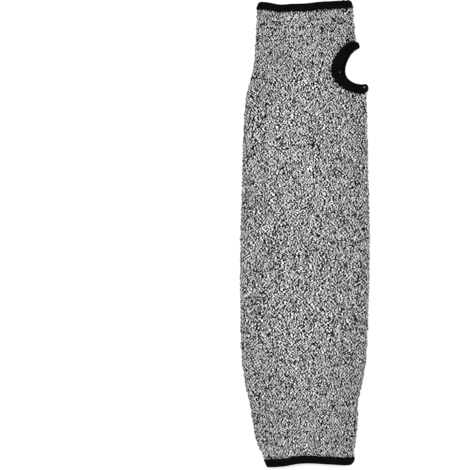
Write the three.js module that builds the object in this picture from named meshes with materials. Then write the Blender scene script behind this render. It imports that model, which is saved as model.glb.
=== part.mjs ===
// A knitted cut resistant arm sleeve with a thumb hole, lying by itself on a flat surface.
//
// Frame: millimetres, +Z up, the surface at z = 0. The hand end points along +Y, the upper arm end along -Y,
// and the thumb hole is cut across the +X fold. The origin is on the surface, under the middle of the sleeve.
//
// The sleeve is one knitted tube, and three black tapes bind its raw edges: at the hand end, round the thumb
// hole and at the upper arm end. The cloth's middle surface is a function of the distance from the hand end
// and of the share of the way round from the thumb fold. The wall, the hole and the tapes all follow it.

import * as THREE from "three";

// Driving dimensions
const SLEEVE_LENGTH = 457; // over both end bindings
const FLAT_WIDTH = 127; // fold to fold, where the sleeve is widest
const LYING_HEIGHT = 20; // of the crown over the surface, where it is highest
const KNIT_WALL = 1.5;
const FOLD_RADIUS = 4.5; // of the cloth's middle surface, where the tube turns over at its sides
const BINDING_THICKNESS = 0.8; // of each layer of the folded tape
const END_BINDING_WIDTH = 6.5;
const THUMB_BINDING_WIDTH = 7;
const SEAT_GAP = 0.3; // between a tape and the knit that it binds
const HEM_DIP = 4; // how far the wavy ends fall short of a straight cut
const THUMB_HOLE_START = 46; // from the hand end to the cut edge, along the fold
const THUMB_HOLE_LENGTH = 38; // of the cut, along the fold
const THUMB_HOLE_UPPER = 23.5; // how far the cut reaches round the cloth into the upper layer
const THUMB_HOLE_LOWER = 19.5; // and into the lower layer
const SETTLE_LENGTH = 32; // over which the knit comes down from a tape to the surface

// Proportions
const THUMB_HOLE_SKEW = 0.38; // how much fuller the hole is towards the upper arm, 0 for an ellipse
const FOLD_LEVEL = 0.45; // height of the side folds, as a share of the way from the bed to the crown
const CROWN_SHARE = 0.3; // share of the upper layer's rise that is the broad crown, and not the shoulders
const MOST_REACH = 0.45; // of the half width, for a shoulder or a lower corner
const NOSE_SHARE = 0.5; // of the tape's height that is blunt, where it turns over the knit's edge

// The sleeve's outline from above and its height, from the hand end to the upper arm end.
// at: share of the length. far, thumb: how far each fold lies from the axis, in shares of half the flat width.
// crown: height of the upper layer, in shares of the lying height.
const SECTIONS = [
  { at: 0, far: 0.708, thumb: 0.714, crown: 0.63 },
  { at: 0.027, far: 0.735, thumb: 0.738, crown: 0.64 },
  { at: 0.076, far: 0.756, thumb: 0.774, crown: 0.66 },
  { at: 0.097, far: 0.766, thumb: 0.803, crown: 0.67 },
  { at: 0.14, far: 0.784, thumb: 0.87, crown: 0.69 },
  { at: 0.162, far: 0.822, thumb: 0.908, crown: 0.71 },
  { at: 0.187, far: 0.876, thumb: 0.942, crown: 0.745 },
  { at: 0.213, far: 0.912, thumb: 0.953, crown: 0.79 },
  { at: 0.277, far: 0.942, thumb: 0.963, crown: 0.87 },
  { at: 0.363, far: 0.962, thumb: 0.978, crown: 0.95 },
  { at: 0.46, far: 0.98, thumb: 0.995, crown: 0.99 },
  { at: 0.556, far: 1, thumb: 1, crown: 1 },
  { at: 0.642, far: 1, thumb: 0.988, crown: 0.985 },
  { at: 0.738, far: 0.989, thumb: 0.957, crown: 0.95 },
  { at: 0.792, far: 0.957, thumb: 0.918, crown: 0.9 },
  { at: 0.83, far: 0.915, thumb: 0.864, crown: 0.85 },
  { at: 0.858, far: 0.862, thumb: 0.817, crown: 0.81 },
  { at: 0.907, far: 0.8, thumb: 0.808, crown: 0.75 },
  { at: 0.933, far: 0.762, thumb: 0.787, crown: 0.71 },
  { at: 0.959, far: 0.696, thumb: 0.77, crown: 0.67 },
  { at: 0.98, far: 0.622, thumb: 0.752, crown: 0.645 },
  { at: 1, far: 0.565, thumb: 0.71, crown: 0.63 },
];

// How far each end falls short of a straight cut, in shares of HEM_DIP. across: -1 at the far fold, 1 at the
// thumb fold.
const HEMS = [
  { across: -1.0, hand: 0.25, arm: 0.0 },
  { across: -0.78, hand: 0.52, arm: 0.09 },
  { across: -0.55, hand: 1.0, arm: 0.36 },
  { across: -0.3, hand: 0.85, arm: 0.82 },
  { across: 0.0, hand: 0.75, arm: 1.0 },
  { across: 0.3, hand: 0.36, arm: 0.82 },
  { across: 0.6, hand: 0.16, arm: 0.62 },
  { across: 0.85, hand: 0.02, arm: 0.5 },
  { across: 1.0, hand: 0.0, arm: 0.56 },
];

// Mesh density
const COLUMNS = 40; // round the sleeve
const FOLD_CROWDING = 0.68; // how much the columns crowd towards the folds, from 0 to under 1
const HAND_ROWS = 4; // from the hand end to the thumb hole
const HOLE_ROWS = 24; // beside the thumb hole
const HOLE_CROWDING = 2.5; // how much denser the hole's rows are where its edge crosses the fold
const ARM_ROWS = 20; // from the thumb hole to the upper arm end
const ARM_CROWDING = 0.5; // how much the arm's rows crowd towards both ends, from 0 to under 1
const THUMB_TAPE_STEPS = 3; // across the tape round the thumb hole
const ARC_STEPS = 20; // in each rounded quarter of a section's outline
const CROWN_STEPS = 24;
const HOLE_STEPS = 600; // in the hole's edge, when its length is measured
const DIFFERENCE = 0.4; // distance to the points that a normal is worked out from
const TURN = 0.01; // angle to the points that the direction of the hole's edge is worked out from

// Derived sizes
const TAPE_STANDOFF = SEAT_GAP + BINDING_THICKNESS; // how far a tape's outer face lies from the knit
const HALF_WALL = KNIT_WALL / 2;
const HOLE_END = THUMB_HOLE_START + THUMB_HOLE_LENGTH;
const HOLE_EASE = 4; // how quickly the hole's push on the grid dies away round the sleeve

const mix = THREE.MathUtils.lerp;
const smooth = THREE.MathUtils.smoothstep;

// A smooth curve through a table's rows, giving the named columns at any position.
function curveThrough(rows, position, columns) {
  const positions = rows.map((row) => row[position]);
  const values = rows.flatMap((row) => columns.map((column) => row[column]));
  const interpolant = new THREE.CubicInterpolant(positions, values, columns.length);
  return (at) => [...interpolant.evaluate(THREE.MathUtils.clamp(at, positions[0], positions.at(-1)))];
}

const sectionCurve = curveThrough(SECTIONS, "at", ["far", "thumb", "crown"]);
const hemCurve = curveThrough(HEMS, "across", ["hand", "arm"]);

// Height of the lower layer's middle surface. The tapes hold the hand part and the arm end off the surface by
// the tape's own thickness, and between them the knit lies on it.
function bedAt(distance) {
  const lastTape = HOLE_END + THUMB_BINDING_WIDTH;
  const armTape = SLEEVE_LENGTH - END_BINDING_WIDTH - HEM_DIP;
  const hand = 1 - smooth(distance, lastTape, lastTape + SETTLE_LENGTH);
  const arm = smooth(distance, armTape - SETTLE_LENGTH, armTape);
  return HALF_WALL + TAPE_STANDOFF * Math.max(hand, arm);
}

// The sizes of the section at a distance from the hand end, for the cloth's middle surface.
function sectionAt(distance) {
  const [far, thumb, crown] = sectionCurve(distance / SLEEVE_LENGTH);
  const left = -((far * FLAT_WIDTH) / 2 - HALF_WALL);
  const right = (thumb * FLAT_WIDTH) / 2 - HALF_WALL;
  const half = (right - left) / 2;
  const bed = bedAt(distance);
  const top = crown * LYING_HEIGHT - HALF_WALL;
  const fold = mix(bed, top, FOLD_LEVEL);
  const crownRise = (top - fold) * CROWN_SHARE;
  const shoulderRise = top - fold - crownRise;
  const drop = fold - bed;
  const reachFor = (rise) => Math.min(rise ** 2 / FOLD_RADIUS, half * MOST_REACH);
  return {
    centre: (left + right) / 2,
    half,
    bed,
    fold,
    crownRise,
    shoulderRise,
    shoulderReach: reachFor(shoulderRise),
    drop,
    cornerReach: reachFor(drop),
  };
}

// The section's outline as points, from the thumb fold over the upper layer to the far fold and back below.
function outlineOf(s) {
  const points = [];
  const add = (across, z) => points.push({ x: s.centre + s.half * across, z });
  const crownAt = (across) => s.crownRise * (1 - across ** 2);
  const quarter = (side, reach, rise, down, outwards) => {
    for (let i = 0; i < ARC_STEPS; i += 1) {
      const share = outwards ? 1 - i / ARC_STEPS : i / ARC_STEPS;
      const angle = (share * Math.PI) / 2;
      const across = side * (1 - (reach * (1 - Math.cos(angle))) / s.half);
      const lift = down ? -rise * Math.sin(angle) : rise * Math.sin(angle) + crownAt(across);
      add(across, s.fold + lift);
    }
  };
  const run = (from, to, steps, height) => {
    for (let i = 0; i < steps; i += 1) {
      const across = mix(from, to, i / steps);
      add(across, height(across));
    }
  };
  const shoulder = 1 - s.shoulderReach / s.half;
  const corner = 1 - s.cornerReach / s.half;
  quarter(1, s.shoulderReach, s.shoulderRise, false, false);
  run(shoulder, -shoulder, CROWN_STEPS, (across) => s.fold + s.shoulderRise + crownAt(across));
  quarter(-1, s.shoulderReach, s.shoulderRise, false, true);
  quarter(-1, s.cornerReach, s.drop, true, false);
  run(-corner, corner, 1, () => s.bed);
  quarter(1, s.cornerReach, s.drop, true, true);
  points.push(points[0]);
  return points;
}

const outlines = new Map();

// The outline at a distance from the hand end, with its running length, kept for the next point that needs it.
function measuredOutline(distance) {
  if (!outlines.has(distance)) {
    const points = outlineOf(sectionAt(distance));
    const lengths = [0];
    for (let i = 1; i < points.length; i += 1) {
      const step = Math.hypot(points[i].x - points[i - 1].x, points[i].z - points[i - 1].z);
      lengths.push(lengths[i - 1] + step);
    }
    outlines.set(distance, { points, lengths, girth: lengths.at(-1) });
  }
  return outlines.get(distance);
}

const girthAt = (distance) => measuredOutline(distance).girth;

// A point of the cloth's middle surface. share: of the way round from the thumb fold, over the top first.
function middlePoint(share, distance) {
  const { points, lengths, girth } = measuredOutline(distance);
  const arc = THREE.MathUtils.euclideanModulo(share, 1) * girth;
  let low = 0;
  let high = lengths.length - 1;
  while (high - low > 1) {
    const half = (low + high) >> 1;
    if (lengths[half] <= arc) low = half;
    else high = half;
  }
  const part = (arc - lengths[low]) / (lengths[high] - lengths[low]);
  const x = mix(points[low].x, points[high].x, part);
  const z = mix(points[low].z, points[high].z, part);
  return new THREE.Vector3(x, SLEEVE_LENGTH / 2 - distance, z);
}

// A point at an offset from the middle surface, outwards if it is positive.
function clothPoint(share, distance, offset) {
  const turn = DIFFERENCE / girthAt(distance);
  const round = middlePoint(share + turn, distance).sub(middlePoint(share - turn, distance));
  const along = middlePoint(share, distance + DIFFERENCE).sub(middlePoint(share, distance - DIFFERENCE));
  const normal = round.cross(along).normalize();
  return middlePoint(share, distance).addScaledVector(normal, offset);
}

// Moves an even share so that steps crowd together at 0 and at every part of 1 that is a multiple of 1 / places.
function crowded(even, crowding, places) {
  const turns = 2 * Math.PI * places;
  return even - (crowding * Math.sin(turns * even)) / turns;
}

// Where column number j stands round the sleeve, closer together at the two folds.
const columnShare = (j) => crowded(j / COLUMNS, FOLD_CROWDING, 2);

// The knit's raw edge at an end, which its tape reaches past.
function hemDistance(share, end) {
  const near = end === "hand" ? 0 : SLEEVE_LENGTH;
  const { centre, half } = sectionAt(near);
  const across = (middlePoint(share, near).x - centre) / half;
  const [hand, arm] = hemCurve(across).map((dip) => HEM_DIP * Math.max(0, dip));
  if (end === "hand") return TAPE_STANDOFF + hand;
  return SLEEVE_LENGTH - TAPE_STANDOFF - arm;
}

// The thumb hole's edge in the cloth, spread flat. angle: 0 at the end near the hand, a half turn at the other.
// arc: signed distance round the cloth from the fold. The upper layer has positive angles, the lower negative.
function holeEdge(angle) {
  const reach = angle >= 0 ? THUMB_HOLE_UPPER : THUMB_HOLE_LOWER;
  return {
    arc: reach * Math.sin(angle) * (1 - THUMB_HOLE_SKEW * Math.cos(angle)),
    distance: mix(THUMB_HOLE_START, HOLE_END, (1 - Math.cos(angle)) / 2),
  };
}

// Angles from one end of the hole to the other, in even steps of its edge that are shorter beside the fold.
function evenHoleAngles() {
  const foldReach = 2 * FOLD_RADIUS;
  const angleOf = (k) => (Math.PI * k) / HOLE_STEPS;
  const run = [0];
  for (let k = 1; k <= HOLE_STEPS; k += 1) {
    const before = holeEdge(angleOf(k - 1));
    const here = holeEdge(angleOf(k));
    const step = Math.hypot(here.arc - before.arc, here.distance - before.distance);
    const besideFold = Math.exp(-((here.arc / foldReach) ** 2));
    run.push(run[k - 1] + step * (1 + HOLE_CROWDING * besideFold));
  }
  return Array.from({ length: HOLE_ROWS + 1 }, (_, i) => {
    const goal = (run[HOLE_STEPS] * i) / HOLE_ROWS;
    return angleOf(run.findIndex((length) => length >= goal));
  });
}

const HOLE_ANGLES = evenHoleAngles();

// The knit's grid: each row runs round the sleeve, and those beside the hole run from edge to edge of it.
function knitRows() {
  const rows = [];
  const nearHole = (share) => (1 - share) ** HOLE_EASE + share ** HOLE_EASE;
  const holeRow = (step) => {
    const upper = holeEdge(HOLE_ANGLES[step]);
    const lower = holeEdge(-HOLE_ANGLES[step]);
    const even = mix(THUMB_HOLE_START, HOLE_END, step / HOLE_ROWS);
    const farDistance = (upper.distance + even) / 2;
    return (share) => {
      const distance = mix(farDistance, upper.distance, nearHole(share));
      const push = upper.arc * (1 - share) ** HOLE_EASE + lower.arc * share ** HOLE_EASE;
      return { distance, share: share + push / girthAt(distance) };
    };
  };
  const between = (from, to, part) => (share) => ({ distance: mix(from(share), to(share), part), share });
  const handHem = (share) => hemDistance(share, "hand");
  const armHem = (share) => hemDistance(share, "arm");
  const holeStart = (share) => holeRow(0)(share).distance;
  const holeEnd = (share) => holeRow(HOLE_ROWS)(share).distance;
  for (let i = 0; i < HAND_ROWS; i += 1) rows.push(between(handHem, holeStart, i / HAND_ROWS));
  for (let i = 0; i <= HOLE_ROWS; i += 1) rows.push(holeRow(i));
  for (let i = 1; i <= ARM_ROWS; i += 1) {
    rows.push(between(holeEnd, armHem, crowded(i / ARM_ROWS, ARM_CROWDING, 1)));
  }
  return rows;
}

// A closed geometry from points and four-cornered faces that are listed anticlockwise from outside.
function solidOf(points, faces) {
  const geometry = new THREE.BufferGeometry().setFromPoints(points);
  geometry.setIndex(faces.flatMap(([a, b, c, d]) => [a, b, c, a, c, d]));
  geometry.computeVertexNormals();
  return geometry;
}

// The knitted tube: an outer and an inner skin, joined at both ends and round the thumb hole.
function knitGeometry() {
  const rows = knitRows();
  const points = [];
  const skins = [HALF_WALL, -HALF_WALL].map((offset) =>
    rows.map((row, i) => {
      const open = i > HAND_ROWS && i < HAND_ROWS + HOLE_ROWS;
      const ids = [];
      for (let j = 0; j < COLUMNS + (open ? 1 : 0); j += 1) {
        const { share, distance } = row(columnShare(j));
        ids.push(points.push(clothPoint(share, distance, offset)) - 1);
      }
      if (!open) ids.push(ids[0]);
      return ids;
    }),
  );
  const [outer, inner] = skins;
  const faces = [];
  const last = rows.length - 1;
  for (let i = 0; i < last; i += 1) {
    for (let j = 0; j < COLUMNS; j += 1) {
      faces.push([outer[i][j], outer[i][j + 1], outer[i + 1][j + 1], outer[i + 1][j]]);
      faces.push([inner[i][j], inner[i + 1][j], inner[i + 1][j + 1], inner[i][j + 1]]);
    }
  }
  for (let j = 0; j < COLUMNS; j += 1) {
    faces.push([outer[0][j + 1], outer[0][j], inner[0][j], inner[0][j + 1]]);
    faces.push([outer[last][j], outer[last][j + 1], inner[last][j + 1], inner[last][j]]);
  }
  for (let i = HAND_ROWS; i < HAND_ROWS + HOLE_ROWS; i += 1) {
    faces.push([outer[i][0], outer[i + 1][0], inner[i + 1][0], inner[i][0]]);
    faces.push([outer[i + 1][COLUMNS], outer[i][COLUMNS], inner[i][COLUMNS], inner[i + 1][COLUMNS]]);
  }
  return solidOf(points, faces);
}

// The folded tape's section: over the knit's raw edge at w = 0, with a leg on each face of the knit.
// w: distance into the knit from its edge. n: offset from the knit's middle surface.
function tapeProfile(width, legSteps) {
  const outside = HALF_WALL + TAPE_STANDOFF;
  const inside = HALF_WALL + SEAT_GAP;
  const leg = (n) => Array.from({ length: legSteps + 1 }, (_, i) => ({ w: mix(width, 0, i / legSteps), n }));
  const turned = (points) => points.map(({ w, n }) => ({ w, n: -n }));
  const over = [
    ...leg(outside),
    { w: -TAPE_STANDOFF, n: outside * NOSE_SHARE },
  ];
  const slot = [...leg(inside), { w: -SEAT_GAP, n: inside }];
  return [...over, ...turned(over).reverse(), ...turned(slot), ...slot.reverse()];
}

// A closed ring: the profile carried through each station. place gives a profile point's place at a station.
function ringGeometry(stations, profile, place) {
  const points = [];
  const ids = stations.map((station) => profile.map(({ w, n }) => points.push(place(station, w, n)) - 1));
  const faces = [];
  ids.forEach((here, k) => {
    const next = ids[(k + 1) % ids.length];
    here.forEach((id, p) => {
      const q = (p + 1) % profile.length;
      faces.push([id, here[q], next[q], next[p]]);
    });
  });
  return solidOf(points, faces);
}

// The tape round an end of the sleeve.
function endBindingGeometry(end) {
  const stations = Array.from({ length: COLUMNS }, (_, j) => {
    const share = columnShare(j);
    return { share, edge: hemDistance(share, end) };
  });
  const inwards = end === "hand" ? 1 : -1;
  const profile = tapeProfile(END_BINDING_WIDTH, 1);
  if (end === "arm") profile.reverse();
  return ringGeometry(stations, profile, ({ share, edge }, w, n) => clothPoint(share, edge + inwards * w, n));
}

// The tape round the thumb hole. Its stations stand at the ends of the knit's rows.
function thumbBindingGeometry() {
  const upper = HOLE_ANGLES.slice(0, -1);
  const lower = HOLE_ANGLES.slice(1).map((angle) => -angle).reverse();
  const stations = [...lower, ...upper];
  const place = (angle, w, n) => {
    const here = holeEdge(angle);
    const ahead = holeEdge(angle + TURN);
    const behind = holeEdge(angle - TURN);
    const run = new THREE.Vector2(ahead.arc - behind.arc, ahead.distance - behind.distance).normalize();
    const arc = here.arc + w * run.y;
    const distance = here.distance - w * run.x;
    return clothPoint(arc / girthAt(distance), distance, n);
  };
  return ringGeometry(stations, tapeProfile(THUMB_BINDING_WIDTH, THUMB_TAPE_STEPS).reverse(), place);
}

const knit = new THREE.MeshStandardMaterial({ color: 0x909190, roughness: 0.95, metalness: 0 });
const tape = new THREE.MeshStandardMaterial({ color: 0x0d0d0e, roughness: 0.85, metalness: 0 });

function piece(name, geometry, material) {
  const mesh = new THREE.Mesh(geometry, material);
  mesh.name = name;
  return mesh;
}

const sleeve = new THREE.Group();
sleeve.add(
  piece("knit_sleeve", knitGeometry(), knit),
  piece("hand_end_binding", endBindingGeometry("hand"), tape),
  piece("thumb_hole_binding", thumbBindingGeometry(), tape),
  piece("upper_arm_binding", endBindingGeometry("arm"), tape),
);

// The origin goes under the middle of the whole sleeve.
const box = new THREE.Box3().setFromObject(sleeve);
const middle = box.getCenter(new THREE.Vector3());
sleeve.position.set(-middle.x, -middle.y, -box.min.z);

export default sleeve;
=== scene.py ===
"""A grey marl cut resistant sleeve with black taped edges, on a pale floor and seen from straight above.

The cloth's middle surface is one function of the share of the way round from the thumb fold and of the
distance from the hand end. The knit, the tapes, their stitches and the loose threads all follow it.
"""
import math

import bpy
import numpy as np
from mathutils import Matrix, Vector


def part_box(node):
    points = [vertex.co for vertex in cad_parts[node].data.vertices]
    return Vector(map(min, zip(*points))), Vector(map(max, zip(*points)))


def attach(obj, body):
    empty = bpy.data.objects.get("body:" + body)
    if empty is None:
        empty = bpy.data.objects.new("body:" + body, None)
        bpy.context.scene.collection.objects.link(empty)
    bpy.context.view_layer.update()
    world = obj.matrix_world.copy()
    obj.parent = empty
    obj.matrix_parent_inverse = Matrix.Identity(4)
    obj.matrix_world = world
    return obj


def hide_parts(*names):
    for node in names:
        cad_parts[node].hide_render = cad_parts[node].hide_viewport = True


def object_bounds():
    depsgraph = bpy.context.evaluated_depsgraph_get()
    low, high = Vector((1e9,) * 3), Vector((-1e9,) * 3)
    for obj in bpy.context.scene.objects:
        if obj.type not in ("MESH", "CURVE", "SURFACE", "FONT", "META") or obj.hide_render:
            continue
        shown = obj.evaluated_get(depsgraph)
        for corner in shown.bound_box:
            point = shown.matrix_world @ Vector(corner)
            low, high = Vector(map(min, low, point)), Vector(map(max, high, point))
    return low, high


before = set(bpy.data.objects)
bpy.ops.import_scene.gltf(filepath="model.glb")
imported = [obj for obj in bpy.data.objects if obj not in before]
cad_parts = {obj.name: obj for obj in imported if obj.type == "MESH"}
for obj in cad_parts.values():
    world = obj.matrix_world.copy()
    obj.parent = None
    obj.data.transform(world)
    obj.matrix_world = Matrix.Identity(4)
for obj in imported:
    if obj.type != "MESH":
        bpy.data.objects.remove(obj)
cad_low, cad_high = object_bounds()

MM = 0.001

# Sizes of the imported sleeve, in metres
knit_low, knit_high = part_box("knit_sleeve")
SLEEVE_LENGTH = cad_high.y - cad_low.y
FLAT_WIDTH = knit_high.x - knit_low.x
LYING_HEIGHT = knit_high.z - knit_low.z

# Sizes of the cloth and the tapes, in metres
KNIT_WALL = 1.5 * MM
FOLD_RADIUS = 4.5 * MM
TAPE_THICKNESS = 0.8 * MM
SEAT_GAP = 0.3 * MM
END_TAPE_WIDTH = 6.5 * MM
THUMB_TAPE_WIDTH = 7 * MM
HEM_DIP = 4 * MM
HOLE_START = 46 * MM
HOLE_LENGTH = 38 * MM
HOLE_UPPER = 23.5 * MM
HOLE_LOWER = 19.5 * MM
SETTLE_LENGTH = 32 * MM
TAPE_STANDOFF = SEAT_GAP + TAPE_THICKNESS
HALF_WALL = KNIT_WALL / 2
HOLE_END = HOLE_START + HOLE_LENGTH

# Proportions of the sections and of the thumb hole
HOLE_SKEW = 0.38
FOLD_LEVEL = 0.45
CROWN_SHARE = 0.3
MOST_REACH = 0.45

# The knit's gauge: stitches round the tube and the height of a row of them
WALES = 158
COURSE = 1.05 * MM
COURSES = SLEEVE_LENGTH / COURSE

# How unevenly single stitches, and whole courses at the side folds, stand out, in millimetres
STITCH_LUMPS = 0.09
COURSE_LUMPS = 0.45
MOST_COURSE_LUMP = 0.8

# The seams: from stitch to stitch, and the radii of the sewing thread and of the loose pale thread
STITCH_PITCH = 2.2 * MM
THREAD_RADIUS = 0.26 * MM
PALE_THREAD_RADIUS = 0.11 * MM

# How far from a fold the tapes are shaped by it: at the ends' corners and at the thumb hole's tips
CORNER_REACH = 2.6 * MM
TIP_REACH = 4.2 * MM

# The greys of the knit's two plies, from 0, black, to 255, white, and their slight tint
KNIT_DARK = 3
KNIT_LIGHT = 234
KNIT_TINT = (0.967, 1.0, 0.992)

# The photograph's frame: its pixels, one pixel's size and where the sleeve's middle lies in it
FRAME_PIXELS = 470
PIXEL = 0.9786 * MM
SLEEVE_MIDDLE_PIXEL = (304.75, 234.0)

# The sleeve's outline from above and its height, from the hand end to the upper arm end.
# Columns: share of the length, far fold and thumb fold in shares of half the flat width, and crown in
# shares of the lying height.
SECTIONS = np.array([
    (0.0, 0.708, 0.718, 0.63),
    (0.027, 0.735, 0.748, 0.64),
    (0.076, 0.756, 0.784, 0.66),
    (0.097, 0.766, 0.812, 0.67),
    (0.14, 0.784, 0.874, 0.69),
    (0.162, 0.822, 0.908, 0.71),
    (0.187, 0.876, 0.942, 0.745),
    (0.213, 0.912, 0.953, 0.79),
    (0.277, 0.942, 0.963, 0.87),
    (0.363, 0.962, 0.978, 0.95),
    (0.46, 0.98, 0.995, 0.99),
    (0.556, 0.996, 1.0, 1.0),
    (0.642, 0.992, 0.986, 0.985),
    (0.738, 0.983, 0.96, 0.95),
    (0.792, 0.951, 0.926, 0.9),
    (0.83, 0.906, 0.872, 0.85),
    (0.858, 0.853, 0.824, 0.81),
    (0.907, 0.793, 0.814, 0.75),
    (0.933, 0.76, 0.792, 0.71),
    (0.959, 0.696, 0.77, 0.67),
    (0.98, 0.622, 0.752, 0.645),
    (1.0, 0.565, 0.71, 0.63),
])

# How far each wavy end falls short of a straight cut, in shares of HEM_DIP.
# Columns: -1 at the far fold to 1 at the thumb fold, hand end, upper arm end.
HEMS = np.array([
    (-1.0, 0.25, 0.0),
    (-0.78, 0.52, 0.09),
    (-0.55, 1.0, 0.36),
    (-0.3, 0.85, 0.82),
    (0.0, 0.75, 1.0),
    (0.3, 0.36, 0.82),
    (0.6, 0.16, 0.62),
    (0.85, 0.02, 0.5),
    (1.0, 0.0, 0.56),
])


def smooth_curve(positions, values, at):
    """A smooth curve through a table's rows. Its slope at a row is the mean of those on the two sides."""
    slopes = np.diff(values) / np.diff(positions)
    ends = [slopes[:1], (slopes[1:] + slopes[:-1]) / 2, slopes[-1:]]
    tangents = np.concatenate(ends)
    at = np.clip(at, positions[0], positions[-1])
    i = np.clip(np.searchsorted(positions, at, side="right") - 1, 0, len(slopes) - 1)
    width = positions[i + 1] - positions[i]
    t = (at - positions[i]) / width
    start = (1 + 2 * t) * (1 - t) ** 2 * values[i] + t * (1 - t) ** 2 * width * tangents[i]
    end = t * t * (3 - 2 * t) * values[i + 1] - t * t * (1 - t) * width * tangents[i + 1]
    return start + end


def smoothstep(value, low, high):
    t = np.clip((value - low) / (high - low), 0, 1)
    return t * t * (3 - 2 * t)


def bed_height(distance):
    """Height of the lower layer's middle surface. The tapes hold the hand part and the arm end up."""
    last_tape = HOLE_END + THUMB_TAPE_WIDTH
    arm_tape = SLEEVE_LENGTH - END_TAPE_WIDTH - HEM_DIP
    hand = 1 - smoothstep(distance, last_tape, last_tape + SETTLE_LENGTH)
    arm = smoothstep(distance, arm_tape - SETTLE_LENGTH, arm_tape)
    return HALF_WALL + TAPE_STANDOFF * np.maximum(hand, arm)


def section_outlines(distance):
    """The middle surface's outline at each distance: rows of points from the thumb fold over the top."""
    at = distance / SLEEVE_LENGTH
    far, thumb, crown = (smooth_curve(SECTIONS[:, 0], SECTIONS[:, k], at) for k in (1, 2, 3))
    left = -(far * FLAT_WIDTH / 2 - HALF_WALL)
    right = thumb * FLAT_WIDTH / 2 - HALF_WALL
    half, centre = (right - left) / 2, (right + left) / 2
    bed = bed_height(distance)
    top = crown * LYING_HEIGHT - HALF_WALL
    fold = bed + (top - bed) * FOLD_LEVEL
    crown_rise = (top - fold) * CROWN_SHARE
    shoulder_rise = top - fold - crown_rise
    drop = fold - bed
    shoulder_reach = np.minimum(shoulder_rise ** 2 / FOLD_RADIUS, half * MOST_REACH)
    corner_reach = np.minimum(drop ** 2 / FOLD_RADIUS, half * MOST_REACH)
    shoulder, corner = 1 - shoulder_reach / half, 1 - corner_reach / half
    turn = np.linspace(0, math.pi / 2, 40, endpoint=False)
    cosine, sine = np.cos(turn), np.sin(turn)
    back = math.pi / 2 - turn
    out = []

    def add(across, height):
        out.append((centre[:, None] + half[:, None] * across, height))

    def crown_at(across):
        return crown_rise[:, None] * (1 - across ** 2)

    def shoulder_arc(side, c, s):
        across = side * (1 - shoulder_reach[:, None] * (1 - c) / half[:, None])
        add(across, fold[:, None] + shoulder_rise[:, None] * s + crown_at(across))

    def corner_arc(side, c, s):
        across = side * (1 - corner_reach[:, None] * (1 - c) / half[:, None])
        add(across, fold[:, None] - drop[:, None] * s)

    shoulder_arc(1, cosine, sine)
    over = shoulder[:, None] * np.linspace(1, -1, 60, endpoint=False)
    add(over, (fold + shoulder_rise)[:, None] + crown_at(over))
    shoulder_arc(-1, np.cos(back), np.sin(back))
    corner_arc(-1, cosine, sine)
    under = corner[:, None] * np.linspace(-1, 1, 60, endpoint=False)
    add(under, np.broadcast_to(bed[:, None], under.shape))
    corner_arc(1, np.cos(back), np.sin(back))
    x = np.concatenate([px for px, _ in out], axis=1)
    z = np.concatenate([pz for _, pz in out], axis=1)
    return np.hstack([x, x[:, :1]]), np.hstack([z, z[:, :1]])


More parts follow.
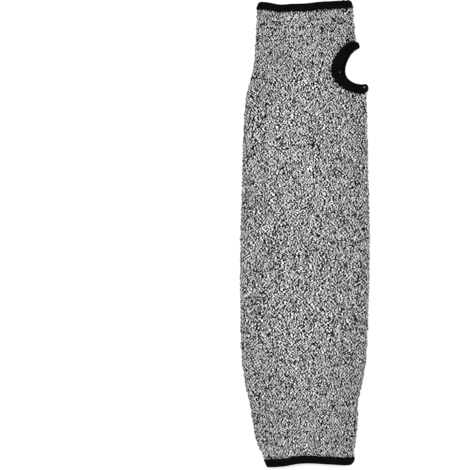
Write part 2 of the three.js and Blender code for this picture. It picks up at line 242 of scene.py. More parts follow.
class Cloth:
    """The cloth's middle surface, kept as a fine table of points and normals, and read between them."""

    MARGIN = 6 * MM
    STEP = 0.75 * MM
    ROUND = 1200

    def __init__(self, seed):
        count = int(round((SLEEVE_LENGTH + 2 * self.MARGIN) / self.STEP)) + 1
        self.distances = np.linspace(-self.MARGIN, SLEEVE_LENGTH + self.MARGIN, count)
        shares = np.arange(self.ROUND) / self.ROUND
        x, z = section_outlines(self.distances)
        run = np.cumsum(np.hypot(np.diff(x, axis=1), np.diff(z, axis=1)), axis=1)
        run = np.hstack([np.zeros((count, 1)), run])
        self.girths = run[:, -1]
        points = np.empty((count, self.ROUND, 3))
        for i in range(count):
            goal = shares * self.girths[i]
            points[i, :, 0] = np.interp(goal, run[i], x[i])
            points[i, :, 2] = np.interp(goal, run[i], z[i])
        points[:, :, 1] = (cad_high.y - self.distances)[:, None]
        arc = shares * self.girths[:, None]
        normals = self.normals_of(points)
        points = points + normals * self.swell(arc, normals, seed)[..., None]
        self.table = np.concatenate([points, self.normals_of(points)], axis=2)

    def normals_of(self, points):
        round_it = np.roll(points, -1, axis=1) - np.roll(points, 1, axis=1)
        along = np.gradient(points, axis=0)
        normals = np.cross(round_it, along)
        return normals / np.linalg.norm(normals, axis=2, keepdims=True)

    def swell(self, arc, normals, seed):
        """How far the cloth stands out from its plain section: soft waves above and wavy side folds."""
        chance = np.random.default_rng(seed)
        distance = np.broadcast_to(self.distances[:, None], arc.shape)
        upper = smoothstep(normals[..., 2], 0.2, 0.8)
        side = smoothstep(np.abs(normals[..., 0]), 0.5, 0.95)
        broad = np.zeros(arc.shape)
        for _ in range(9):
            length = chance.uniform(34, 95) * MM
            angle = chance.uniform(-0.9, 0.9)
            phase = chance.uniform(0, 2 * math.pi)
            run = distance * math.cos(angle) + arc * math.sin(angle)
            broad += np.sin(2 * math.pi * run / length + phase)
        wavy = np.zeros(arc.shape)
        for _ in range(7):
            length = chance.uniform(7, 26) * MM
            wavy += np.sin(2 * math.pi * distance / length + chance.uniform(0, 2 * math.pi))
        gather_pitch = 8.5 * MM
        gather = np.sin(2 * math.pi * arc / gather_pitch + 1.3 * np.sin(distance / (14 * MM)))
        from_hand = np.exp(-np.maximum(distance - 7 * MM, 0) / (9 * MM))
        from_arm = np.exp(-np.maximum(SLEEVE_LENGTH - 9 * MM - distance, 0) / (22 * MM))
        return (
            upper * (0.13 * MM * broad + 0.16 * MM * gather * (0.6 * from_hand + from_arm))
            + side * 0.05 * MM * wavy
        )

    def look_up(self, share, distance):
        """The middle surface's point and normal, as six numbers."""
        row = np.clip((distance - self.distances[0]) / self.STEP, 0, len(self.distances) - 1.001)
        column = np.mod(share, 1) * self.ROUND
        i, j = row.astype(int), column.astype(int) % self.ROUND
        fi, fj = (row - i)[..., None], (column - np.floor(column))[..., None]
        k = (j + 1) % self.ROUND
        near = self.table[i, j] * (1 - fj) + self.table[i, k] * fj
        far = self.table[i + 1, j] * (1 - fj) + self.table[i + 1, k] * fj
        return near * (1 - fi) + far * fi

    def place(self, share, distance, offset):
        """Points at an offset from the middle surface, outwards if it is positive."""
        share, distance, offset = np.broadcast_arrays(share, distance, offset)
        found = self.look_up(share, distance)
        return found[..., :3] + found[..., 3:] * offset[..., None]

    def girth(self, distance):
        return np.interp(distance, self.distances, self.girths)


cloth = Cloth(seed=11)


def hem_distance(share, end):
    """The knit's raw edge at an end, inside its tape."""
    near = 0.0 if end == "hand" else SLEEVE_LENGTH
    x = cloth.place(share, near, 0.0)[..., 0]
    across = 2 * (x - x.min()) / (x.max() - x.min()) - 1
    dip = HEM_DIP * np.maximum(smooth_curve(HEMS[:, 0], HEMS[:, 1 if end == "hand" else 2], across), 0)
    return TAPE_STANDOFF + dip if end == "hand" else SLEEVE_LENGTH - TAPE_STANDOFF - dip


def hole_edge(angle):
    """The thumb hole's edge in the cloth spread flat: distances from the fold and from the hand end."""
    reach = np.where(np.sin(angle) >= 0, HOLE_UPPER, HOLE_LOWER)
    arc = reach * np.sin(angle) * (1 - HOLE_SKEW * np.cos(angle))
    return arc, HOLE_START + HOLE_LENGTH * (1 - np.cos(angle)) / 2


def hole_reach(distance, reach):
    """How far round the cloth the hole reaches at a distance from the hand end. Less than 0 outside it."""
    cosine = 1 - 2 * (distance - HOLE_START) / HOLE_LENGTH
    inside = np.abs(cosine) < 1
    sine = np.sqrt(np.maximum(1 - cosine ** 2, 0))
    return np.where(inside, reach * sine * (1 - HOLE_SKEW * cosine), -1.0)


def make_piece(name, points, faces, finish, uv_maps):
    """A mesh piece that rides on the sleeve's body. uv_maps has, by name, a place for each face corner."""
    mesh = bpy.data.meshes.new(name)
    mesh.from_pydata(points.tolist(), [], faces)
    mesh.validate()
    for map_name, places in uv_maps.items():
        layer = mesh.uv_layers.new(name=map_name)
        layer.data.foreach_set("uv", np.asarray(places, np.float32).ravel())
    mesh.polygons.foreach_set("use_smooth", np.full(len(mesh.polygons), True))
    mesh.materials.append(finish)
    piece = bpy.data.objects.new(name, mesh)
    bpy.context.scene.collection.objects.link(piece)
    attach(piece, "root")
    return piece


class Value:
    """A shader socket's value. An expression on values adds its Math nodes."""

    def __init__(self, finish, socket):
        self.finish = finish
        self.socket = socket

    def math(self, operation, *values):
        return self.finish.node("ShaderNodeMath", {"operation": operation}, values)

    def __add__(self, other):
        return self.math("ADD", self, other)

    def __radd__(self, other):
        return self.math("ADD", other, self)

    def __sub__(self, other):
        return self.math("SUBTRACT", self, other)

    def __rsub__(self, other):
        return self.math("SUBTRACT", other, self)

    def __mul__(self, other):
        return self.math("MULTIPLY", self, other)

    def __rmul__(self, other):
        return self.math("MULTIPLY", other, self)

    def __truediv__(self, other):
        return self.math("DIVIDE", self, other)

    def __pow__(self, other):
        return self.math("POWER", self, other)

    def floor(self):
        return self.math("FLOOR", self)

    def size(self):
        return self.math("ABSOLUTE", self)

    def wave(self):
        """The sine of this many turns."""
        return self.math("SINE", self * (2 * math.pi))

    def ramp(self, low, high):
        """0 below low, 1 above high and a smooth rise between them."""
        settings = {"interpolation_type": "SMOOTHSTEP"}
        inputs = {"Value": self, "From Min": low, "From Max": high}
        return self.finish.node("ShaderNodeMapRange", settings, inputs)


class Finish:
    """A material's node tree. node is the one way in which nodes are added to it."""

    def __init__(self, name, roughness, sheen=0.0, gloss=0.15):
        self.material = bpy.data.materials.new(name)
        self.material.use_nodes = True
        self.tree = self.material.node_tree
        self.shader = self.tree.nodes["Principled BSDF"]
        self.shader.inputs["Roughness"].default_value = roughness
        self.shader.inputs["Specular IOR Level"].default_value = gloss
        self.shader.inputs["Sheen Weight"].default_value = sheen
        self.shader.inputs["Sheen Roughness"].default_value = 0.6

    def node(self, kind, settings, inputs, output=0):
        """Adds a node, sets it up and fills its sockets, in order or by name, with values or links."""
        made = self.tree.nodes.new(kind)
        for key, value in settings.items():
            setattr(made, key, value)
        named = inputs.items() if isinstance(inputs, dict) else enumerate(inputs)
        for key, value in named:
            if isinstance(value, Value):
                self.tree.links.new(value.socket, made.inputs[key])
            else:
                made.inputs[key].default_value = value
        return Value(self, made.outputs[output])

    def uv(self, name):
        """The two coordinates of a UV map."""
        place = self.node("ShaderNodeUVMap", {"uv_map": name}, {})
        return [self.node("ShaderNodeSeparateXYZ", {}, [place], axis) for axis in ("X", "Y")]

    def noise(self, x, y, scale, detail, seed):
        """Smooth noise from 0 to 1 over two coordinates."""
        place = self.node("ShaderNodeCombineXYZ", {}, [x, y, seed])
        inputs = {"Vector": place, "Scale": scale, "Detail": detail}
        return self.node("ShaderNodeTexNoise", {}, inputs, "Fac")

    def chance(self, x, y, seed):
        """A number from 0 to 1 drawn anew for each whole x and y."""
        place = self.node("ShaderNodeCombineXYZ", {}, [x, y, seed])
        return self.node("ShaderNodeTexWhiteNoise", {"noise_dimensions": "3D"}, {"Vector": place}, "Value")

    def mix(self, share, first, second):
        """A colour between two others."""
        settings = {"data_type": "RGBA"}
        return self.node("ShaderNodeMix", settings, {0: share, 6: first, 7: second}, 2)

    def feed(self, socket, value):
        self.tree.links.new(value.socket, self.shader.inputs[socket])

    def bump(self, height, distance, strength=1.0):
        inputs = {"Height": height, "Distance": distance, "Strength": strength}
        self.feed("Normal", self.node("ShaderNodeBump", {}, inputs))


def grey(value, tint=(1.0, 1.0, 1.0)):
    """A linear colour from a grey of 0 to 255, as a screen shows it, and a tint."""
    share = value / 255
    linear = ((share + 0.055) / 1.055) ** 2.4 if share > 0.04 else share / 12.92
    return (*(linear * part for part in tint), 1.0)


def marl_knit():
    """Plain knit in a yarn twisted of a dark and a light ply, with one V of two legs in each stitch."""
    slant, wander = 0.4, 3.4
    finish = Finish("grey_marl_knit", roughness=0.92, sheen=0.02)
    even_u, even_v = finish.uv("stitches")

    # The wales and courses, counted in stitches, wander a little
    u = even_u + finish.noise(even_u, even_v, 0.15, 0.0, 6.1) * wander
    v = even_v + finish.noise(even_u, even_v, 0.15, 0.0, 8.3)

    # The place in a stitch: which leg of its V, how far from the wale's middle and how far along the leg
    wale = u.floor()
    from_middle = ((u - wale) * 2 - 1).size()
    side = ((u - wale) * 2).floor()
    rising = v + from_middle * slant
    course = rising.floor()
    along = rising - course
    across = (from_middle * 2 - 1).size()
    ends = (along * 2 - 1).size()
    fibres = finish.noise(u * 3, v * 1.5, 1.6, 2.0, 1.3)

    # Which ply lies on top: the yarn's turns, and a chance of its own for each leg and each stitch.
    # Where the sleeve is narrow the two legs are more alike, so that the grain stays as coarse there.
    drift = finish.noise(u, v, 0.3, 1.0, 3.7) * 1.6 + finish.chance(course, course * 1.7, 3.1) * 0.36
    turns = wale * 0.55 + side * 0.06 + along * 0.12 + from_middle * 0.3 + course * 0.32 + drift
    own_leg = finish.chance(wale * 2 + side, course, 1.5) * 2 - 1
    own_stitch = finish.chance(wale, course, 5.5) - 0.5
    from_half_way = (even_v * (2 / COURSES) - 1).size()
    narrow = from_half_way ** 3
    own = own_leg * (0.5 - narrow * 0.14) + own_stitch * (0.2 + narrow * 0.55)
    ply = (turns.wave() * 0.6 + own + fibres * 0.25 - 0.47).ramp(-0.15, 0.15)

    # Painted shade in the gaps between the legs and the courses, uneven wear, and painted shade at the
    # folds, on the thumb side and at both tapers
    gap_shade = (1 - across ** 4 * 0.15) * (1 - ends ** 6 * 0.42)
    worn = finish.noise(even_u, even_v, 0.06, 2.0, 5.2)
    at_fold = (even_u * (2 / WALES) + 0.25).wave()
    thumb_side = (even_u * (1 / WALES) + 0.25).wave()
    taper = from_half_way ** 4 * (1 - from_half_way ** 4) * 4
    # Painted shade: darker at both folds, on the thumb side and where the sleeve tapers
    shaded = at_fold * 0.1 + thumb_side * 0.04 + taper * 0.09
    light = gap_shade * (0.83 + worn * 0.16 + fibres * 0.12 - shaded)
    shade = finish.mix(ply, grey(KNIT_DARK, KNIT_TINT), grey(KNIT_LIGHT, KNIT_TINT))
    finish.feed("Base Color", finish.mix(light, (0.0, 0.0, 0.0, 1.0), shade))

    height = (1 - across ** 2) * (1 - ends ** 4 * 0.5) + fibres * 0.3
    finish.bump(height, 0.2 * MM, 0.6)
    return finish.material


def black_tape():
    """Dull black knitted tape with fine ribs across it."""
    rib_pitch, row_pitch = 0.8, 0.9
    finish = Finish("black_tape", roughness=0.85, gloss=0.03)
    run, width = finish.uv("tape")
    rib = (run / rib_pitch).wave() * 0.5 + 0.5
    cross = (width / row_pitch).wave() * 0.5 + 0.5
    fuzz = finish.noise(run, width, 1.4, 3.0, 2.0)
    finish.feed("Base Color", finish.mix(fuzz.ramp(0.35, 0.7), grey(1), grey(13)))
    finish.bump(rib * 0.5 + rib * cross * 0.3 + fuzz * 0.5, 0.16 * MM, 0.8)
    return finish.material


def thread(name, dark, light):
    """Twisted sewing thread, from the grey between its plies, which is painted shade, to the grey on them.
    """
    finish = Finish(name, roughness=0.75, gloss=0.06)
    run, width = finish.uv("thread")
    twist = (run * 1.6 + width).wave() * 0.5 + 0.5
    # Painted shade in the grooves between the plies
    finish.feed("Base Color", finish.mix(twist, grey(dark), grey(light)))
    finish.bump(twist, 0.05 * MM)
    return finish.material


KNIT_FINISH = marl_knit()
TAPE_FINISH = black_tape()
BLACK_THREAD = thread("black_thread", 2, 14)
GREY_THREAD = thread("grey_thread", 80, 190)


def knit_piece():
    """The knitted tube: an outer skin with one vertex to a stitch and a coarser inner skin.

    The courses stand out unevenly where they turn over the two folds.
    """
    columns, rows = WALES, 2 * round(COURSES / 2)
    chance = np.random.default_rng(5)
    column = np.arange(columns + 1)
    share = np.broadcast_to(column / columns, (rows + 1, columns + 1))
    hand, arm = hem_distance(share[0], "hand"), hem_distance(share[0], "arm")
    step = np.arange(rows + 1)[:, None] / rows
    distance = hand * (1 - step) + arm * step
    normals = cloth.look_up(share, distance)[..., 3:]
    at_fold = smoothstep(np.abs(normals[..., 0]), 0.6, 0.95)
    off_floor = smoothstep(normals[..., 2], -0.9, -0.6)
    courses_out = chance.normal(0, COURSE_LUMPS, (rows + 1, 1)).clip(-MOST_COURSE_LUMP, MOST_COURSE_LUMP)
    lumps = (chance.normal(0, STITCH_LUMPS, share.shape) + courses_out * at_fold) * MM
    lumps[:, -1] = lumps[:, 0]
    outer = cloth.place(share, distance, HALF_WALL + lumps * off_floor)
    inner = cloth.place(share, distance, -HALF_WALL)[::2, ::2]
    arc = share * cloth.girth(distance)
    back_arc = cloth.girth(distance) - arc
    margin = 0.4 * MM
    cut_above = arc < hole_reach(distance, HOLE_UPPER) + margin
    cut_below = back_arc < hole_reach(distance, HOLE_LOWER) + margin
    cut = cut_above | cut_below

    # Blocks of two by two stitches are kept or cut out whole, one face of the inner skin to a block
    blocks_down, blocks_round = rows // 2, columns // 2
    kept = np.ones((blocks_down, blocks_round), bool)
    for i in range(3):
        for j in range(3):
            kept &= ~cut[i:i + rows - 1:2, j:j + columns - 1:2]
    outer_ids = np.arange((rows + 1) * columns).reshape(rows + 1, columns)
    outer_ids = np.hstack([outer_ids, outer_ids[:, :1]])
    inner_ids = np.arange((blocks_down + 1) * blocks_round).reshape(blocks_down + 1, blocks_round)
    inner_ids = np.hstack([inner_ids, inner_ids[:, :1]]) + (rows + 1) * columns
    points = np.concatenate([outer[:, :-1].reshape(-1, 3), inner[:, :-1].reshape(-1, 3)])
    course = distance / COURSE
    faces, places, bakes = [], [], []

    def add(ids, corners, inside, deep=()):
        """One face. deep: which of its corners lie on the inner edge of a rim."""
        faces.append([int(n) for n in ids])

        # In the second UV map the outer skin lies on the left and the inner skin beside it
        left, width = (0.7, 0.29) if inside else (0.005, 0.69)
        for k, (i, j) in enumerate(corners):
            down = course[i, j] + (0.5 if k in deep else 0)
            places.append((column[j], down))
            bakes.append((left + width * column[j] / WALES, 0.003 + 0.99 * down / COURSES))

    ring = ((0, 0), (0, 1), (1, 1), (1, 0))
    for bi, bj in np.argwhere(kept):
        i, j = 2 * bi, 2 * bj
        for di, dj in ring:
            corners = [(i + di + a, j + dj + b) for a, b in ring]
            add([outer_ids[c] for c in corners], corners, False)
        corners = [(i + 2 * a, j + 2 * b) for a, b in reversed(ring)]
        add([inner_ids[c[0] // 2, c[1] // 2] for c in corners], corners, True)
        beside = (
            (bi == 0 or not kept[bi - 1, bj], (i, j), (i, j + 1), (i, j + 2)),
            (not kept[bi, (bj + 1) % blocks_round], (i, j + 2), (i + 1, j + 2), (i + 2, j + 2)),
            (bi == blocks_down - 1 or not kept[bi + 1, bj], (i + 2, j + 2), (i + 2, j + 1), (i + 2, j)),
            (not kept[bi, bj - 1], (i + 2, j), (i + 1, j), (i, j)),
        )
        for is_rim, first, middle, last in beside:
            if is_rim:
                ids = [outer_ids[last], outer_ids[middle], outer_ids[first]]
                ids += [inner_ids[c[0] // 2, c[1] // 2] for c in (first, last)]
                add(ids, (last, middle, first, first, last), False, deep=(3, 4))

    # Only the points that a face uses are kept
    used = np.unique(np.concatenate([np.asarray(f) for f in faces]))
    renumber = np.full(len(points), -1)
    renumber[used] = np.arange(len(used))
    faces = [renumber[face].tolist() for face in faces]
    uv_maps = {"stitches": places, "OFBake": bakes}
    return make_piece("knitted_tube", points[used], faces, KNIT_FINISH, uv_maps)


def tape_profile(width):
    """The folded tape's rounded section: rows of w, into the knit from its edge, and n, off its middle."""
    outside = HALF_WALL + TAPE_STANDOFF
    inside = HALF_WALL + 0.05 * MM
    crown = 0.14 * MM
    run = np.linspace(1, 0, 7)
    crowned = outside - 0.12 * MM + crown * np.sin(math.pi * run ** 0.8)
    leg = [(width * r, n) for r, n in zip(run, crowned)]
    lip = [(width - 0.1 * MM, inside + 0.02 * MM), (width + 0.28 * MM, inside + 0.3 * TAPE_THICKNESS)]
    turn = np.linspace(0.35, 1, 5) * math.pi / 2
    nose = [(-TAPE_STANDOFF * math.sin(t), outside * math.cos(t) ** 0.8) for t in turn[:-1]]
    over = [*lip, *leg, *nose]
    tip = [(-TAPE_STANDOFF, 0.0)]
    under = [(w, -n) for w, n in reversed(over)]
    deep, edge = width * 0.5, -SEAT_GAP * 0.5
    slot = [(deep, -inside), (edge, -inside), (edge, inside), (deep, inside)]
    return np.array([*over, *tip, *under, *slot])


def tape_piece(name, stations, profile, place, run):
    """A closed ring of tape: the profile carried through the stations and flattened on the floor.

    run: metres along the tape at each station.
    """
    size = len(profile)
    w, n = profile[:, 0], profile[:, 1]
    points = np.concatenate([place(k, w, n) for k in range(stations)])
    points[:, 2] = points[:, 2].clip(0)
    girth = np.concatenate([[0], np.cumsum(np.hypot(*np.diff(profile, axis=0).T))]) / MM
    faces, places = [], []
    for k in range(stations):
        after = (k + 1) % stations
        here, there = run[k] / MM, run[k + 1] / MM
        for p in range(size):
            q = (p + 1) % size
            faces.append([k * size + p, k * size + q, after * size + q, after * size + p])
            far = girth[q] if q else girth[p] + 0.5
            places += [(here, girth[p]), (here, far), (there, far), (there, girth[p])]
    return make_piece(name, points, faces, TAPE_FINISH, {"tape": places})


def end_tape(end):
    """The tape round an end of the sleeve, with an uneven inner edge and rounded corners at its folds."""
    stations = 330
    chance = np.random.default_rng(21 if end == "hand" else 22)
    shares = np.arange(stations) / stations
    edges = hem_distance(shares, end)
    inwards = 1 if end == "hand" else -1
    profile = tape_profile(END_TAPE_WIDTH)
    if end == "arm":
        # Reversed, so that the faces look outwards
        profile = profile[::-1]
    uneven = np.convolve(np.tile(chance.normal(0, 0.3, stations) * MM, 3), np.ones(3) / 3, "same")
    uneven = uneven[stations:2 * stations]
    near = 0.0 if end == "hand" else SLEEVE_LENGTH
    girth = float(cloth.girth(near))
    far_fold = shares[np.argmin(cloth.place(shares, near, 0.0)[:, 0])]
    by_thumb = np.exp(-(np.minimum(shares, 1 - shares) * girth / CORNER_REACH) ** 2)
    by_far = np.exp(-(np.abs(shares - far_fold) * girth / CORNER_REACH) ** 2)

    # How much narrower the tape is at its corners, and how many millimetres its outer edge is drawn in
    if end == "hand":
        narrower, pulled = 0.28 * by_thumb, 0.9 * by_thumb + 1.2 * by_far
    else:
        narrower, pulled = np.zeros(stations), 1.3 * by_thumb

    def place(k, w, n):
        outer = np.clip(1 - w / END_TAPE_WIDTH, 0, 1.2)
        w = w + uneven[k] * (1 - outer).clip(0, 1)
        w = w * (1 - narrower[k]) + pulled[k] * MM * outer ** 2
        n = n * (1 - 0.9 * narrower[k]) * (1 - 0.25 * pulled[k] * outer)
        if end == "arm":
            n = n * (1 + 0.45 * by_thumb[k] * np.sin(math.pi * np.clip(1 - outer, 0, 1) ** 0.6))
        return cloth.place(shares[k], edges[k] + inwards * w, n)

    run = np.arange(stations + 1) / stations * girth
    return tape_piece(f"{end}_end_tape", stations, profile, place, run)


def hole_stations(count):
    """Angles round the thumb hole's edge at even steps along it, and the running length at each."""
    fine = np.linspace(-math.pi, math.pi, 4001)
    arc, distance = hole_edge(fine)
    run = np.concatenate([[0], np.cumsum(np.hypot(np.diff(arc), np.diff(distance)))])
    goals = np.linspace(0, run[-1], count + 1)
    return np.interp(goals, run, fine)[:-1], goals


def off_hole(angle, w, n):
    """Points at a distance w from the hole's edge into the cloth, and n off the cloth's middle."""
    arc, distance = hole_edge(angle)
    ahead, behind = hole_edge(angle + 0.01), hole_edge(angle - 0.01)
    run = np.array([ahead[0] - behind[0], ahead[1] - behind[1]])
    run = run / np.linalg.norm(run)
    arc, distance = arc + w * run[1], distance - w * run[0]
    return cloth.place(arc / cloth.girth(distance), distance, n)


def over_the_fold(angle, w, n):
    """Draws the thumb hole's tape together where it turns over the fold, and makes it stand proud there."""
    arc, distance = (float(v) for v in hole_edge(angle))
    near = math.exp(-(arc / TIP_REACH) ** 2)
    down = (distance - HOLE_START) / HOLE_LENGTH

    # At the tip nearer to the hand end and at the other one, the last two in millimetres
    narrower, shift, proud = (0.24, -0.7, 1.2) if down < 0.5 else (0.06, -1.3, 1.7)
    middle = np.clip((w + TAPE_STANDOFF) / (THUMB_TAPE_WIDTH + TAPE_STANDOFF), 0, 1)
    bulge = proud * MM * near * np.sin(math.pi * middle) ** 0.7
    wider = 0.16 * float(smoothstep(down, 0.35, 0.75)) * (1 - near)
    outwards = 0.8 * (1 - near) * math.sin(math.pi * min(max(down, 0), 1)) ** 2
    w = w * (1 - narrower * near + wider) + (shift * near - outwards * (1 - middle)) * MM
    return w, np.where(n > 0, n + bulge, n)


def on_thumb_tape(angle, w, n):
    """Points of the thumb hole's tape, from their places in its section."""
    return off_hole(angle, *over_the_fold(angle, w, n))


def thumb_tape():
    """The tape round the thumb hole."""
    count = 240
    angles, run = hole_stations(count)

    # Reversed, so that the faces look outwards
    profile = tape_profile(THUMB_TAPE_WIDTH)[::-1]

    def place(k, w, n):
        return on_thumb_tape(angles[k], w, n)

    return tape_piece("thumb_hole_tape", count, profile, place, run)


def tubes(name, lines, radius, finish, sides=6):
    """Threads as one mesh: a round tube along each line of points, closed at both ends."""
    points, faces, places = [], [], []
    for line in lines:
        line = np.asarray(line)
        start = len(points)
        ahead = np.gradient(line, axis=0)
        ahead /= np.linalg.norm(ahead, axis=1, keepdims=True)
        # Askew, so that no thread is likely to run along it
        helper = np.array([0.31, 0.17, 0.94])
        first = np.cross(ahead, helper)
        first /= np.linalg.norm(first, axis=1, keepdims=True)
        second = np.cross(ahead, first)
        turns = np.arange(sides) * 2 * math.pi / sides
        run = np.concatenate([[0], np.cumsum(np.linalg.norm(np.diff(line, axis=0), axis=1))]) / MM
        for k in range(len(line)):
            for turn in turns:
                points.append(line[k] + radius * (first[k] * math.cos(turn) + second[k] * math.sin(turn)))
        for k in range(len(line) - 1):
            for s in range(sides):
                a, b = start + k * sides + s, start + k * sides + (s + 1) % sides
                faces.append([a, b, b + sides, a + sides])
                low, high = s / sides, (s + 1) / sides
                places += [(run[k], low), (run[k], high), (run[k + 1], high), (run[k + 1], low)]
        last = start + (len(line) - 1) * sides
        faces.append([start + s for s in reversed(range(sides))])
        faces.append([last + s for s in range(sides)])
        places += [(0.0, 0.0)] * sides + [(run[-1], 0.0)] * sides
    return make_piece(name, np.array(points), faces, finish, {"thread": places})


def overlock(name, place, length, width, seed, extra=()):
    """Stitches over a tape's inner edge, each with a foot along the knit, and a row of them on the tape."""
    chance = np.random.default_rng(seed)
    count = int(length / STITCH_PITCH)
    step = length / count
    face = HALF_WALL + TAPE_STANDOFF
    lines = []
    for side in (1, -1):
        for k in range(count):
            at = (k + chance.uniform(-0.2, 0.2)) * step
            out = width + chance.uniform(0.5, 1.9) * MM
            foot = chance.uniform(0.25, 0.6) * step

            # Columns: share of a step along the tape, distance into the knit, distance off its middle
            path = (
                (0.0, width - 1.7 * MM, face - 0.15 * MM),
                (0.1, width - 1.0 * MM, face + 0.1 * MM),
                (0.3, width - 0.1 * MM, face - 0.05 * MM),
                (0.45, (width * 0.6 + out * 0.4), HALF_WALL + 0.3 * MM),
                (0.55, out, HALF_WALL + 0.12 * MM),
            )
            line = [place(at + s * step, w, side * n) for s, w, n in path]
            line.append(place(at + 0.55 * step + foot, out + 0.15 * MM, side * (HALF_WALL - 0.2 * MM)))
            lines.append(line)
            if k % 2 == 0:
                row = width - 2.1 * MM
                rise = ((0.0, -0.15), (0.3, 0.08), (0.8, 0.12), (1.3, 0.08), (1.6, -0.15))
                lines.append([place(at + s * step, row, side * (face + r * MM)) for s, r in rise])
    lines += extra

    # No thread goes below the floor
    lines = [np.array([(*p[:2], max(p[2], THREAD_RADIUS)) for p in line]) for line in lines]
    return tubes(name, lines, THREAD_RADIUS, BLACK_THREAD, sides=5)


def upper_share(x, distance):
    """The share of the way round at which the upper layer has this x."""
    shares = np.linspace(0, 0.5, 600)
    across = cloth.place(shares, distance, 0.0)[:, 0]
    return float(np.interp(-x, -across, shares))


def end_stitches(end):
    """The seam of an end's tape, at the hand end with the tape's join and the thread's cut ends."""
    near = 0.0 if end == "hand" else SLEEVE_LENGTH
    length = float(cloth.girth(near))
    inwards = 1 if end == "hand" else -1
    shares = np.arange(601) / 600
    edges = hem_distance(shares, end)

    def place(run, w, n):
        share = (run / length) % 1
        edge = np.interp(share, shares, edges)
        return cloth.place(share, edge + inwards * w, n)

    seed, extra = 32, []
    if end == "hand":
        seed, extra = 31, [*join_stitches(place, length), *thread_tails(place, length)]
    return overlock(f"{end}_end_stitches", place, length, END_TAPE_WIDTH, seed, extra)


def join_stitches(place, length):
    """Long stitches that hang below the tape where its two ends are joined."""
    chance = np.random.default_rng(34)
    face = HALF_WALL + TAPE_STANDOFF
    lines = []
    for k in range(7):
        run = upper_share((0.4 + 1.7 * k) * MM, END_TAPE_WIDTH) * length
        foot = END_TAPE_WIDTH + chance.uniform(1.6, 3.2) * MM
        lean = chance.uniform(-0.5, 0.5) * MM
        lines.append([
            place(run, END_TAPE_WIDTH - 2 * MM, face - 0.1 * MM),
            place(run, END_TAPE_WIDTH - 0.4 * MM, face + 0.1 * MM),
            place(run + 0.3 * lean, END_TAPE_WIDTH + 0.6 * MM, HALF_WALL + 0.3 * MM),
            place(run + 0.7 * lean, (END_TAPE_WIDTH + foot) / 2, HALF_WALL + 0.15 * MM),
            place(run + lean, foot, HALF_WALL - 0.1 * MM),
        ])
    return lines


def thread_tails(place, length):
    """Two cut ends of sewing thread, each of a few strands, that stand out past the hand end's edge."""
    lines = []
    steps = np.linspace(0, 1, 7)
    between_strands = 0.42

    # Columns: x and lean in millimetres, with the number of strands between them
    for x, strands, lean in ((37.6, 3, -0.3), (42.0, 5, -0.2)):
        for strand in (np.arange(strands) - (strands - 1) / 2) * between_strands:
            run = upper_share((x + strand) * MM, 0.0) * length
            root = place(run, 0.8 * MM, HALF_WALL + 0.7 * TAPE_THICKNESS)
            reach = 4.2 + 0.9 * math.sin(5 * strand)
            bend = lean + 0.6 * strand
            lines.append([root + np.array([bend * t ** 2, reach * t, -0.5 * t ** 2]) * MM for t in steps])
    return lines


def thumb_stitches():
    """The seam of the thumb hole's tape."""
    angles, run = hole_stations(1200)
    length = run[-1]

    def place(at, w, n):
        return on_thumb_tape(np.interp(at % length, run[:-1], angles), w, n)

    return overlock("thumb_hole_stitches", place, length, THUMB_TAPE_WIDTH, 33)


def loose_ends():
    """Pale thread on the thumb hole's tape: a loop at one of its tips, a tight double one on its middle."""
    face = HALF_WALL + TAPE_STANDOFF
    widths = np.linspace(0.4, 6.6, 63) * MM

    def spot(x, y):
        """The place of the tape's upper side that shows nearest to x and y from above."""
        found = []
        for angle in np.linspace(-math.pi, math.pi, 361):
            on_it = on_thumb_tape(angle, widths, np.full(len(widths), face))
            away = np.hypot(on_it[:, 0] - x, on_it[:, 1] - y) + (on_it[:, 2] < LYING_HEIGHT / 3)
            found.append((away.min(), angle, widths[away.argmin()]))
        return min(found)[1:]

    turns = np.linspace(0, 1.85 * math.pi, 15)
    loops = []

    # Columns: x, y and the loop's size, in millimetres
    for x, y, size in ((58.2, 143.6, 0.62), (34.5, 157.9, 0.3), (34.5, 157.9, 0.14)):
        angle, width = spot(x * MM, y * MM)
        angles, widths_round = angle + 0.04 * size * np.cos(turns), width + size * MM * np.sin(turns)
        loops.append([on_thumb_tape(a, w, face + 0.12 * MM) for a, w in zip(angles, widths_round)])
    return tubes("loose_thread", loops, PALE_THREAD_RADIUS, GREY_THREAD, sides=6)


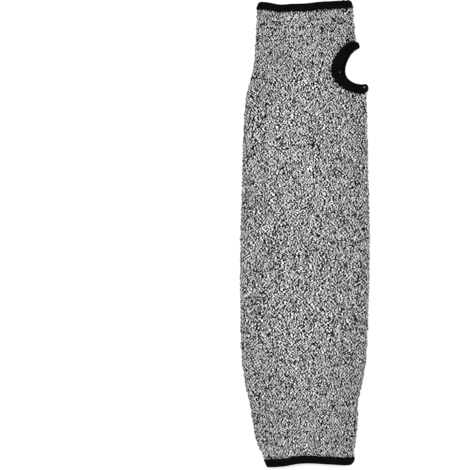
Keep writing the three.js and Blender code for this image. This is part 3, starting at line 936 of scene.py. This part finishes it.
def soft_floor():
    """A plain pale floor that glows a little, so that it stays white."""
    finish = Finish("pale_floor", roughness=0.9, gloss=0.0)
    finish.shader.inputs["Base Color"].default_value = (0.93, 0.93, 0.93, 1.0)
    finish.shader.inputs["Emission Color"].default_value = (1.0, 1.0, 1.0, 1.0)
    finish.shader.inputs["Emission Strength"].default_value = 0.12
    mesh = bpy.data.meshes.new("floor")
    reach = 6.0
    corners = [(-reach, -reach, 0), (reach, -reach, 0), (reach, reach, 0), (-reach, reach, 0)]
    mesh.from_pydata(corners, [], [(0, 1, 2, 3)])
    mesh.materials.append(finish.material)
    floor = bpy.data.objects.new("floor", mesh)
    bpy.context.scene.collection.objects.link(floor)
    return floor


def overhead_camera():
    """Looks straight down on the middle of the photograph's frame."""
    height = 3.0
    data = bpy.data.cameras.new("camera")
    camera = bpy.data.objects.new("camera", data)
    bpy.context.scene.collection.objects.link(camera)
    middle = FRAME_PIXELS / 2
    camera.location = (
        (middle - SLEEVE_MIDDLE_PIXEL[0]) * PIXEL,
        (SLEEVE_MIDDLE_PIXEL[1] - middle) * PIXEL,
        height,
    )
    data.sensor_width = 36
    data.lens = data.sensor_width * (height - LYING_HEIGHT / 2) / (FRAME_PIXELS * PIXEL)
    data.clip_end = 50
    bpy.context.scene.camera = camera


def lamp(name, location, size, power):
    """A square soft light that faces the sleeve."""
    data = bpy.data.lights.new(name, "AREA")
    data.shape = "SQUARE"
    data.size = size
    data.energy = power
    light = bpy.data.objects.new(name, data)
    light.location = location
    bpy.context.scene.collection.objects.link(light)
    aim = -light.location
    light.rotation_euler = aim.to_track_quat("-Z", "Y").to_euler()


def studio():
    """Even soft light, most of it from above."""
    world = bpy.data.worlds.new("studio")
    world.use_nodes = True
    world.node_tree.nodes["Background"].inputs["Color"].default_value = (1.0, 1.0, 1.0, 1.0)
    world.node_tree.nodes["Background"].inputs["Strength"].default_value = 0.7
    bpy.context.scene.world = world
    lamp("top_light", (-0.25, 0.35, 1.8), 1.3, 28)
    lamp("side_light", (0.9, -0.5, 1.1), 0.8, 6)
    bpy.context.scene.view_settings.view_transform = "Standard"


overhead_camera()
studio()
floor = soft_floor()

tube = knit_piece()
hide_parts("knit_sleeve")

tapes = {
    "hand_end_binding": end_tape("hand"),
    "thumb_hole_binding": thumb_tape(),
    "upper_arm_binding": end_tape("arm"),
}
for node, tape in tapes.items():
    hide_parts(node)

threads = [end_stitches("hand"), thumb_stitches(), end_stitches("arm"), loose_ends()]
